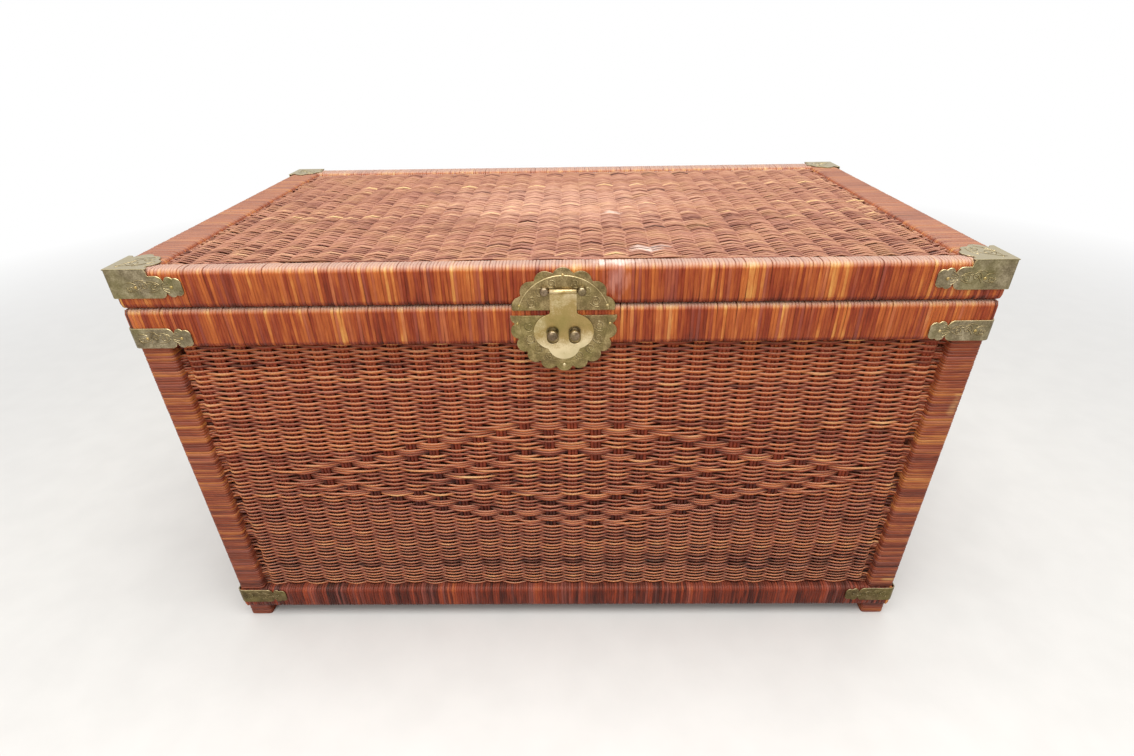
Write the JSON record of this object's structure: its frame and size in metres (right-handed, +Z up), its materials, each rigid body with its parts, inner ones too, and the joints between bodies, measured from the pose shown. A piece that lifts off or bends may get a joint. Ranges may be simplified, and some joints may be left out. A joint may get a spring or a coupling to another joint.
{
  "type": "woven storage chest",
  "caption": "Low rectangular storage chest of woven rattan with a cane-wrapped frame, a hinged flat lid, brass corner fittings, a slotted hasp, side bails and lid stays.",
  "frame": {"origin": "middle of the chest's overall box, on the floor under the feet", "axes": "+X along the chest to its right as seen from the front, -Y out of the front, +Z up"},
  "size_m": [0.952, 0.5244, 0.5247],
  "materials": {
    "cane_wrap": "rattan cane wrapped side by side over wooden rails, satin shellac, golden to dark red-brown bands",
    "woven_rattan": "split rattan woven over paired stakes, semi-gloss shellac, red-brown",
    "board": "plain thin board, matt",
    "aged_brass": "stamped sheet and turned posts, dull olive-tan patina"
  },
  "bodies": {
    "base": {"floor_board": "board", "bottom_rail_front": "cane_wrap", "bottom_rail_back": "cane_wrap", "bottom_rail_left": "cane_wrap", "bottom_rail_right": "cane_wrap", "rim_rail_front": "cane_wrap", "rim_rail_back": "cane_wrap", "rim_rail_left": "cane_wrap", "rim_rail_right": "cane_wrap", "corner_post_front_left": "cane_wrap", "corner_post_front_right": "cane_wrap", "corner_post_back_right": "cane_wrap", "corner_post_back_left": "cane_wrap", "foot_front_left": "cane_wrap", "foot_front_right": "cane_wrap", "foot_back_right": "cane_wrap", "foot_back_left": "cane_wrap", "woven_panel_front": "woven_rattan", "woven_panel_back": "woven_rattan", "woven_panel_left": "woven_rattan", "woven_panel_right": "woven_rattan", "rim_strap_front_left": "aged_brass", "rim_strap_front_right": "aged_brass", "rim_strap_back_right": "aged_brass", "rim_strap_back_left": "aged_brass", "base_strap_front_left": "aged_brass", "base_strap_front_right": "aged_brass", "base_strap_back_right": "aged_brass", "base_strap_back_left": "aged_brass", "lock_plate": "aged_brass", "lock_posts": "aged_brass", "hinge_leaf_lower_left": "aged_brass", "hinge_leaf_lower_right": "aged_brass", "hinge_pins": "aged_brass", "handle_posts": "aged_brass", "stay_studs": "aged_brass", "base_nails": "aged_brass"},
    "lid": {"lid_rail_front": "cane_wrap", "lid_rail_back": "cane_wrap", "lid_rail_left": "cane_wrap", "lid_rail_right": "cane_wrap", "lid_panel": "woven_rattan", "lid_corner_front_left": "aged_brass", "lid_corner_front_right": "aged_brass", "lid_corner_back_right": "aged_brass", "lid_corner_back_left": "aged_brass", "hasp_plate": "aged_brass", "hasp_posts": "aged_brass", "hasp_pin": "aged_brass", "hinge_leaf_upper_left": "aged_brass", "hinge_leaf_upper_right": "aged_brass", "stay_pivots": "aged_brass", "lid_nails": "aged_brass"},
    "hasp": {"hasp_flap": "aged_brass"},
    "left_bail": {"handle_bail_left": "aged_brass"},
    "right_bail": {"handle_bail_right": "aged_brass"},
    "left_stay": {"stay_left": "aged_brass"},
    "right_stay": {"stay_right": "aged_brass"}
  },
  "joints": [
    {"name": "lid_hinge", "type": "hinge", "parent": "base", "child": "lid", "pos_m": [0, 0.2587, 0.4797], "axis": [-1, 0, 0], "range_deg": [0, 100]},
    {"name": "hasp_hinge", "type": "hinge", "parent": "lid", "child": "hasp", "pos_m": [0.0072, -0.2534, 0.497], "axis": [-1, 0, 0], "range_deg": [0, 180]},
    {"name": "left_bail_hinge", "type": "hinge", "parent": "base", "child": "left_bail", "pos_m": [-0.47, 0.0032, 0.45675], "axis": [0, 1, 0], "range_deg": [0, 170]},
    {"name": "right_bail_hinge", "type": "hinge", "parent": "base", "child": "right_bail", "pos_m": [0.47, 0.0032, 0.45675], "axis": [0, -1, 0], "range_deg": [0, 170]},
    {"name": "left_stay_pivot", "type": "hinge", "parent": "lid", "child": "left_stay", "pos_m": [-0.42725, 0.11016, 0.50058], "axis": [1, 0, 0], "range_deg": [0, 50]},
    {"name": "right_stay_pivot", "type": "hinge", "parent": "lid", "child": "right_stay", "pos_m": [0.42725, 0.11016, 0.50058], "axis": [1, 0, 0], "range_deg": [0, 50]}
  ],
  "couplings": [
    {"joint": "left_stay_pivot", "follows": "lid_hinge", "ratio": 0.5},
    {"joint": "right_stay_pivot", "follows": "lid_hinge", "ratio": 0.5}
  ]
}
